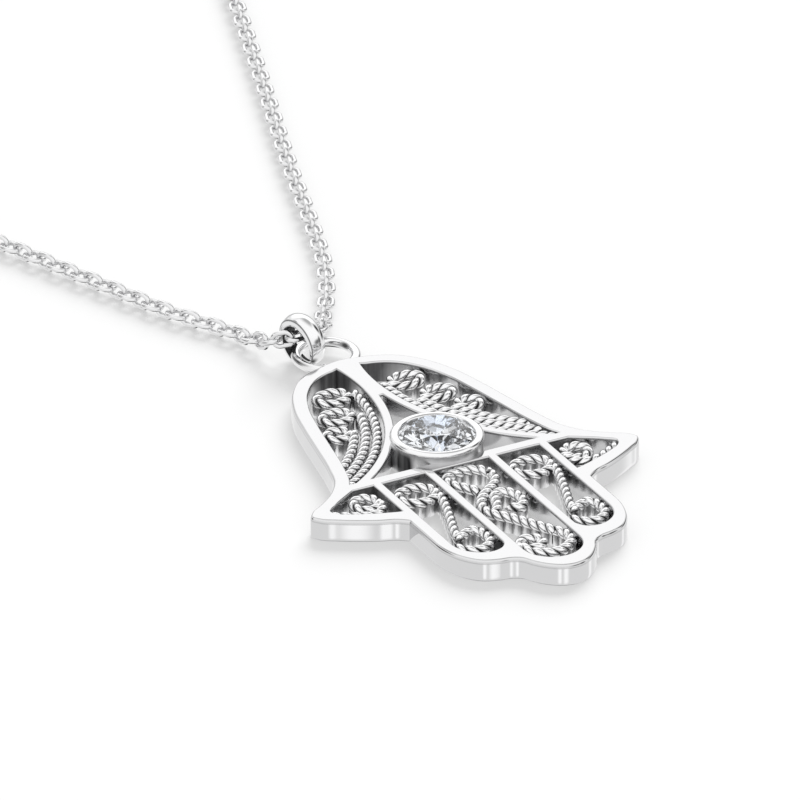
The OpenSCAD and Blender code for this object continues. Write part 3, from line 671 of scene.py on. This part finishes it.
def brilliant():
    """The brilliant's points are rings about its axis: eight round the table, eight where stars and kites
    meet, sixteen round each edge of the girdle, eight low on the mains and the culet. A kite's far corner
    stands where the flat of the crown puts it, and so does the low ring on the pavilion."""
    r, table_r = stone_d / 2, table_d / 2
    star_r, low_r = (r + table_r) / 2 + star_out, r * low_share
    tilt = np.cos(np.radians(22.5))
    star_z = crown_h * (r - star_r * tilt) / (r - table_r)
    low_z = pavilion_h * (r - low_r * tilt) / r

    def ring(n, radius, z, a0=0):
        a = np.radians(a0 + all_round(n))
        x, y = radius * np.cos(a) + stone_middle[0], radius * np.sin(a) + stone_middle[1]
        return np.column_stack([x, y, np.full(n, z)])

    points = np.vstack([ring(8, table_r, girdle_top + crown_h), ring(8, star_r, girdle_top + star_z, 22.5),
                        ring(16, r, girdle_top), ring(16, r, girdle_low),
                        ring(8, low_r, girdle_low - low_z, 22.5), [[*stone_middle, girdle_low - pavilion_h]]])
    i, j = np.arange(8), np.arange(16)
    star, top, low, main = first_star, first_top, first_low, first_main
    faces = [list(range(8))]
    for corners in ([i, star + i, (i + 1) % 8], [i, star + (i + 7) % 8, top + 2 * i, star + i],
                    [star + i, top + 2 * i, top + 2 * i + 1],
                    [star + i, top + 2 * i + 1, top + (2 * i + 2) % 16],
                    [top + j, low + j, low + (j + 1) % 16, top + (j + 1) % 16],
                    [low + 2 * i, main + i, low + 2 * i + 1],
                    [low + 2 * i + 1, main + i, low + (2 * i + 2) % 16],
                    [low + 2 * i, main + (i + 7) % 8, np.full(8, culet), main + i]):
        faces += np.stack(corners, -1).tolist()
    return points, faces


def clear_stone():
    """A clear, strongly bending stone with a faint blue cast and almost no gloss lost on its facets."""
    made, node, link, shader = new_look("clear_cut_stone")
    fill_in(shader.inputs, {"Transmission Weight": 1, "IOR": 2, "Roughness": 0})
    tint = node.new("ShaderNodeMix")
    tint.data_type = "RGBA"
    fill_in(tint.inputs, {"A": (0.88, 0.91, 0.95, 1), "B": (0.94, 0.955, 0.98, 1)})
    place = node.new("ShaderNodeTexCoord").outputs["Object"]
    link.new(noise(node, link, place, scale=700), tint.inputs["Factor"])
    link.new(tint.outputs["Result"], shader.inputs["Base Color"])
    return made


def foil_cone():
    """The stone's lower facets again, twice: just outside the stone, and a little farther out for the foil's
    back, with the two joined round the edge."""
    points, faces = brilliant()
    lower, axis = points[first_low:], np.array([*stone_middle, 0])
    near, far = ((lower - axis) * [k, k, 1] + axis - [0, 0, d] for k, d in (foil_near, foil_far))
    front = further_on([f for f in faces if min(f) >= first_low], -first_low)
    j = np.arange(16)
    k = (j + 1) % 16
    edge = np.stack([k, len(near) + k, len(near) + j, j], -1).tolist()
    return np.vstack([near, far]), turned_over(front) + further_on(front, len(near)) + edge


put_on(new_piece("cut_stone", *brilliant(), smooth=False), clear_stone(), "stone")
foil_silver = silver("bright_stone_foil", (0.9, 0.92, 0.95), 0.04, 0.04, 0.2)
put_on(new_piece("stone_foil", *foil_cone(), smooth=False), foil_silver, "stone")

# The bail: a band of silver bent into a ring through the ear, thick and wide at its top and thin at
# its bottom, flat inside and rounded outside, polished all over. The chain runs through it.
bail_bore, bail_top_t, bail_low_t, bail_top_w, bail_low_w = 2.2, 0.57, 0.12, 1.0, 0.8
bail_turn, bail_lean, bail_x, bail_back, bail_gap = 12.3, 3, -0.96, 0.76, 0.02
bail_r = bail_bore / 2
bail_middle = np.array([bail_x, ear_middle[1] + ear_d / 2 - bail_back,
                        (bail_r + bail_low_t) * np.cos(np.radians(bail_lean)) + bail_gap])


def bail_band(around=128):
    """The band's section, in shares of its width and thickness, is flat inside, upright at the sides and a
    flat arch outside, its edges eased. It is carried round the hole's circle, and its thickness and width
    grow from the bottom to the top with the height on the circle. The ring stands on edge, leans and is
    turned. Its inside and the eased edges of its arch are made rougher and painted dark: painted shade
    inside and painted dark reflections on the edges."""
    a = np.radians(all_round(around))[:, None]
    half = np.linspace(0.44, 0, 13)
    flank = np.array([[0.44, 0], [0.475, 0.012], [0.493, 0.045], [0.5, 0.1], [0.5, 0.3], [0.5, 0.5],
                      [0.498, 0.545], [0.49, 0.595], [0.474, 0.645]])
    dome = np.column_stack([half, 1 - 1.44 * half**2])
    right = np.vstack([flank, [[0.46, 0.678]], dome])
    section = np.vstack([right, (right * [-1, 1])[-2::-1]])
    up = (1 + np.sin(a)) / 2
    thick, wide = bail_low_t + (bail_top_t - bail_low_t) * up, bail_low_w + (bail_top_w - bail_low_w) * up
    x = wide * section[:, 0]
    out = bail_r + thick * section[:, 1]
    y, z = out * np.cos(a), out * np.sin(a)
    lean, turn = -np.radians(bail_lean), np.radians(bail_turn)
    x, z = x * np.cos(lean) + z * np.sin(lean), -x * np.sin(lean) + z * np.cos(lean)
    x, y = x * np.cos(turn) - y * np.sin(turn), x * np.sin(turn) + y * np.cos(turn)
    points = np.stack([x, y, z], -1).reshape(-1, 3) + bail_middle
    # Painted shade on the inside and painted dark reflections on the arch's eased edges, which are also made
    # rougher.
    dull = np.interp(section[:, 1], [0, 0.03, 0.53, 0.6, 0.67, 0.72], [0.97, 0, 0, 0.8, 0.8, 0])
    faces = turned_over(band_faces(around, len(section), close_rows=True))
    return points, faces, np.broadcast_to(dull, x.shape).ravel()


bail_points, bail_faces, bail_dull_and_painted_dark = bail_band()
put_on(new_piece("bail", bail_points, bail_faces, sharp_over=60, dull_and_painted_dark=bail_dull_and_painted_dark), setting_silver, "bail")

# The chain: a fine cable chain of 537 oval links of round silver wire, each closed round the one
# before it, every second link upright and the others level. It lies down the left side, climbs over
# the ear's wire through the bail, and goes up the right side.
link_count, link_long, link_wide, link_wire, clasp_up = 537, 1.37, 1.0, 0.26, 192.2
near_reach, near_sides, far_sides = 42, (20, 10), (12, 5)
chain_route = np.array([
    [-4.6, clasp_up, 0.9], [-9, 191.4, 0.56], [-14.5, 190, 0.5], [-22, 187, 0.5], [-30, 181.9, 0.5],
    [-37, 175.2, 0.5], [-43, 166.5, 0.5], [-47, 156.5, 0.5], [-48.7, 146.5, 0.5], [-48.3, 136.5, 0.5],
    [-46, 126.5, 0.5], [-41, 111.5, 0.5], [-35, 94.5, 0.5], [-29, 77, 0.5], [-23, 60, 0.5],
    [-17.5, 44, 0.5], [-12.8, 30.5, 0.5], [-8.5, 18.6, 0.5], [-6.2, 12.4, 0.5], [-4.4, 7.8, 0.5],
    [-3.3, 5.7, 0.5], [-2.75, 4.43, 0.53], [-2.45, 3.13, 0.74], [-2.3, 2.13, 1.08], [-2.02, 1.38, 1.42],
    [-1.45, 1.01, 1.6], [-0.7, 0.98, 1.66], [0.1, 1.28, 1.52], [0.65, 1.78, 1.38], [1.1, 2.33, 1.02],
    [1.5, 3.13, 0.72], [2.05, 4.23, 0.53], [2.9, 5.5, 0.5], [3.9, 7.3, 0.5], [5, 9.7, 0.5],
    [6.3, 13.3, 0.5], [8.4, 19.7, 0.5], [11.8, 29.3, 0.5], [17.4, 45.3, 0.5], [23.2, 61.7, 0.5],
    [29, 78.5, 0.5], [35, 95.3, 0.5], [41, 111.7, 0.5], [46, 126.7, 0.5], [48.3, 136.7, 0.5],
    [48.7, 146.7, 0.5], [47, 156.7, 0.5], [43, 166.7, 0.5], [37, 175.3, 0.5], [30, 181.9, 0.5],
    [22, 187, 0.5], [14.5, 190, 0.5], [9, 191.4, 0.56], [4.2, clasp_up, 0.9]]) + [0, ear_middle[1], 0]


def oval_link(around, across):
    """One link about its own middle: two half circles joined by straights, its length along X and flat in
    XY, with a circle of the wire's radius carried round it. A place, and then a ring about it."""
    bend = (link_wide - link_wire) / 2
    straight_half = (link_long - link_wire) / 2 - bend
    a = np.radians((np.arange(around) + 0.5) * 360 / around)[:, None]
    b = np.radians(all_round(across))[None, :]
    out = bend + link_wire / 2 * np.cos(b)
    x = np.cos(a) * out + np.sign(np.cos(a)) * straight_half
    points = np.stack([x, np.sin(a) * out, np.broadcast_to(link_wire / 2 * np.sin(b), (around, across))], -1)
    return points.reshape(-1, 3), np.array(band_faces(around, across, close_rows=True))[:, ::-1]


def linked(joints, chosen, around, across, start):
    """The chosen links of a chain, each from one joint to the next. A link's own X goes along it, and its Y
    to the side, or up for each second link."""
    ahead = unit(joints[1:] - joints[:-1])[chosen]
    middle = ((joints[1:] + joints[:-1]) / 2)[chosen]
    side = unit(np.cross([0, 0, 1], ahead))
    up = np.cross(ahead, side)
    upright = (chosen % 2 == 0)[:, None]
    own_y, own_z = np.where(upright, up, side), np.where(upright, -side, up)
    shape, faces = oval_link(around, across)
    points = (middle[:, None] + shape[None, :, :1] * ahead[:, None] + shape[None, :, 1:2] * own_y[:, None]
              + shape[None, :, 2:] * own_z[:, None])
    first = start + np.arange(len(chosen))[:, None, None] * len(shape)
    return points.reshape(-1, 3), (faces[None] + first).reshape(-1, 4).tolist()


chain_line, chain_far, chain_length = evenly(smooth_run(chain_route, 24), 0.02, False)
joint_far = np.linspace(0, chain_length, link_count + 1)
joints = np.column_stack([np.interp(joint_far, chain_far, chain_line[:, n]) for n in range(3)])
numbers = np.arange(link_count)
near = np.abs(joints[:-1, 1] - ear_middle[1]) < near_reach
near_points, near_faces = linked(joints, numbers[near], *near_sides, 0)
far_points, far_faces = linked(joints, numbers[~near], *far_sides, len(near_points))
chain = new_piece("chain_links", np.vstack([near_points, far_points]), near_faces + far_faces)
# Painted light: the same silver as the plate, painted a little lighter.
chain_silver = silver("polished_silver_links", (0.76, 0.76, 0.765), 0.06, 0.04, 0.2)
put_on(chain, chain_silver, "chain")

# The clasp behind the neck: a thick spring ring of silver with a small wire eye for the chain's last link
# soldered upright to it, and a knob to open it. It is closed.
clasp_wire, clasp_d, eye_wire, eye_d, eye_sink = 0.8, 4.4, 0.4, 1.6, 0.15
knob_turn, knob_rows, knob_around, ring_sides = np.radians(60), 6, 24, (64, 16)
clasp_middle = np.array([0, ear_middle[1] + clasp_up, (eye_d + eye_wire) / 2])
eye_x = (clasp_d + clasp_wire + eye_d + eye_wire) / 2 - eye_sink
knob_at = clasp_middle + clasp_d / 2 * np.array([np.cos(knob_turn), np.sin(knob_turn), 0])

body_points, body_faces = wire_ring(clasp_middle, clasp_d, clasp_wire)
eye_points, eye_faces = wire_ring(clasp_middle - [eye_x, 0, 0], eye_d, eye_wire, 90, *ring_sides)
knob_r = np.array([0.16, 0.19, 0.2, 0.2, 0.19, 0.16])[:, None]
knob_z = np.array([0, 0.01, 0.04, 0.6, 0.63, 0.64])[:, None]
j = np.arange(knob_around)
k, a = (j + 1) % knob_around, np.radians(all_round(knob_around))
knob_side = np.stack([knob_r * np.cos(a), knob_r * np.sin(a), knob_z + 0 * a], -1).reshape(-1, 3)
knob_points = np.vstack([knob_side, [[0, 0, knob_z[0, 0]], [0, 0, knob_z[-1, 0]]]]) + knob_at
low_end, top_row = knob_rows * knob_around, (knob_rows - 1) * knob_around
knob_faces = band_faces(knob_rows, knob_around) + np.stack([k, j, np.full(knob_around, low_end)], -1).tolist()
knob_faces += np.stack([top_row + j, top_row + k, np.full(knob_around, low_end + 1)], -1).tolist()
clasp_points = np.vstack([body_points, eye_points, knob_points])
clasp_faces = (body_faces + further_on(eye_faces, len(body_points))
               + further_on(knob_faces, len(body_points) + len(eye_points)))
put_on(new_piece("clasp", clasp_points, clasp_faces, sharp_over=50), chain_silver, "clasp")

# The end ring for the chain's right end: a plain ring of round silver wire, soldered shut, that the clasp
# closes on. It lies at a slant through the clasp's ring.
end_ring_d, end_ring_slack = 2.2, 0.2
end_ring_x = clasp_d / 2 + (end_ring_d - eye_wire - clasp_wire) / 2 - end_ring_slack
end_at = clasp_middle + [end_ring_x, 0, 0]
end_points, end_faces = wire_ring(end_at, end_ring_d, eye_wire, 45, *ring_sides)
put_on(new_piece("end_ring", end_points, end_faces), chain_silver, "end_ring")

# The table: a plain white top that runs on beyond the view, lit so that it shows white and takes only a
# soft grey shadow under the hand.
table_size, table_z, table_grey, table_lift = 3.0, -0.00001, 0.34, 0.39
table = bpy.data.objects.new("white_table", bpy.data.meshes.new("white_table"))
half = table_size / 2
corners = [(x * half, y * half, table_z) for x, y in ((-1, -1), (1, -1), (1, 1), (-1, 1))]
table.data.from_pydata(corners, [], [(0, 1, 2, 3)])
bpy.context.scene.collection.objects.link(table)
table.visible_glossy = False
table_white, node, link, shader = new_look("matt_white_table")
fill_in(shader.inputs, {"Base Color": (table_grey, table_grey, table_grey, 1), "Roughness": 1,
                        "Specular IOR Level": 0, "Emission Color": (1, 1, 1, 1)})
seen = node.new("ShaderNodeLightPath").outputs["Is Camera Ray"]
link.new(worked_out(node, link, "MULTIPLY", seen, table_lift), shader.inputs["Emission Strength"])
table.data.materials.append(table_white)

# The lamp: a broad soft lamp behind the hand on the right. It lays the shadow on the table towards the
# camera, and the silver doesn't mirror it.
lamp_azimuth, lamp_height, lamp_strength, lamp_spread = 42, 32, 4.9, 40
soft_lamp = bpy.data.lights.new("soft_lamp", "SUN")
soft_lamp.energy, soft_lamp.angle = lamp_strength, np.radians(lamp_spread)
lamp = bpy.data.objects.new("soft_lamp", soft_lamp)
lamp.rotation_euler = (np.radians(90 - lamp_height), 0, np.radians(180 - lamp_azimuth))
lamp.visible_glossy = False
lamp.visible_transmission = False
bpy.context.scene.collection.objects.link(lamp)

# The studio: a white tent all round the table. It is brightest in a broad band low behind the hand, which
# the flat silver mirrors to the camera. Black cards stand to the left and the right, whose reflections draw
# the round edges, and a few small ones are seen only through the stone.
tent_low, tent_top, tent_low_z, tent_top_z = 0.95, 1.15, -0.1, 0.5
panels = [(28, 32, 48, 26, 0.12, 0.8), (28, 32, 40, 20, 0.25, 1.38), (-171, -27, 6, 16, 0.8, 1.35),
          (-149, -27, 5, 16, 0.8, 1.35), (82, -30, 6, 16, 0.8, 1.25)]
cards = [(28, -1, 42, 8, 0.7, 0.5), (-53, 4, 18, 10, 0.5, 0.04), (-50, 36, 10, 10, 0.6, 0.2),
         (92, 30, 12, 16, 0.6, 0.05), (80, 2, 20, 9, 0.6, 0.06), (128, 6, 10, 12, 0.6, 0.1),
         (152, 6, 22, 9, 0.6, 0.2), (60, 66, 24, 9, 0.6, 0.5), (0, -90, 27, 27, 0.35, 0.04)]
stone_cards = [(40, 58, 10, 10), (-80, 45, 10, 12), (150, 48, 10, 12), (-150, 64, 11, 9), (95, 70, 10, 8),
               (-20, 30, 8, 10)]
stone_card_soft, stone_card_level = 0.2, 0.02


def way_to(azimuth, height):
    """The way to a place in the tent, by its azimuth from +Y to the right and its height, in degrees."""
    a, e = np.radians(azimuth), np.radians(height)
    return np.array([np.sin(a) * np.cos(e), np.cos(a) * np.cos(e), np.sin(e)])


def patch(nodes, links, way, azimuth, height, half_width, half_height, soft):
    """A mask in the tent: 1 within an oval about a place and 0 outside it, softly."""
    off, scaled, far = (nodes.new("ShaderNodeVectorMath") for _ in range(3))
    off.operation, scaled.operation, far.operation = "SUBTRACT", "MULTIPLY", "LENGTH"
    off.inputs[1].default_value = way_to(azimuth, height)
    wide, high = 1 / (2 * np.sin(np.radians(half_width) / 2)), 1 / (2 * np.sin(np.radians(half_height) / 2))
    scaled.inputs[1].default_value = (wide, wide, high)
    links.new(way, off.inputs[0])
    links.new(off.outputs[0], scaled.inputs[0])
    links.new(scaled.outputs[0], far.inputs[0])
    return ranged(nodes, links, far.outputs["Value"], 1 - soft, 1 + soft, 1, 0, kind="SMOOTHSTEP")


def laid_over(nodes, links, light, mask, level):
    """The tent's light with another level laid over it where the mask is 1."""
    blend = nodes.new("ShaderNodeMix")
    blend.inputs["B"].default_value = level
    links.new(light, blend.inputs["A"])
    links.new(mask, blend.inputs["Factor"])
    return blend.outputs["Result"]


world = bpy.data.worlds.new("studio_tent")
bpy.context.scene.world = world
world.use_nodes = True
tent, tie = world.node_tree.nodes, world.node_tree.links
tent_way, tent_parts = tent.new("ShaderNodeTexCoord").outputs["Generated"], tent.new("ShaderNodeSeparateXYZ")
tie.new(tent_way, tent_parts.inputs["Vector"])
light = ranged(tent, tie, tent_parts.outputs["Z"], tent_low_z, tent_top_z, tent_low, tent_top)
for *oval_patch, level in panels + cards:
    light = laid_over(tent, tie, light, patch(tent, tie, tent_way, *oval_patch), level)
through = tent.new("ShaderNodeLightPath").outputs["Is Transmission Ray"]
for oval_patch in stone_cards:
    mask = patch(tent, tie, tent_way, *oval_patch, stone_card_soft)
    light = laid_over(tent, tie, light, worked_out(tent, tie, "MULTIPLY", mask, through), stone_card_level)
tie.new(light, tent["Background"].inputs["Color"])

# The camera: a long lens from low on the left, turned 28 degrees and raised 28 degrees.
look_at = Vector((0.000547, 0.007301, 0.0012))
turned_by, raised_by, distance = np.radians(-28.161), np.radians(27.587), 0.95
flat = np.cos(raised_by)
back = Vector((np.sin(turned_by) * flat, -np.cos(turned_by) * flat, np.sin(raised_by)))
lens = bpy.data.cameras.new("long_lens")
lens.sensor_width, lens.lens, lens.clip_start, lens.clip_end = 36, 829.08, 0.05, 20
camera = bpy.data.objects.new("long_lens", lens)
camera.location = look_at + back * distance
camera.rotation_euler = (-back).to_track_quat("-Z", "Y").to_euler()
scene = bpy.context.scene
scene.collection.objects.link(camera)
scene.camera = camera
scene.view_settings.view_transform = "Standard"
scene.cycles.use_denoising = True
scene.cycles.max_bounces = 16
scene.cycles.transmission_bounces = 16
scene.cycles.glossy_bounces = 8
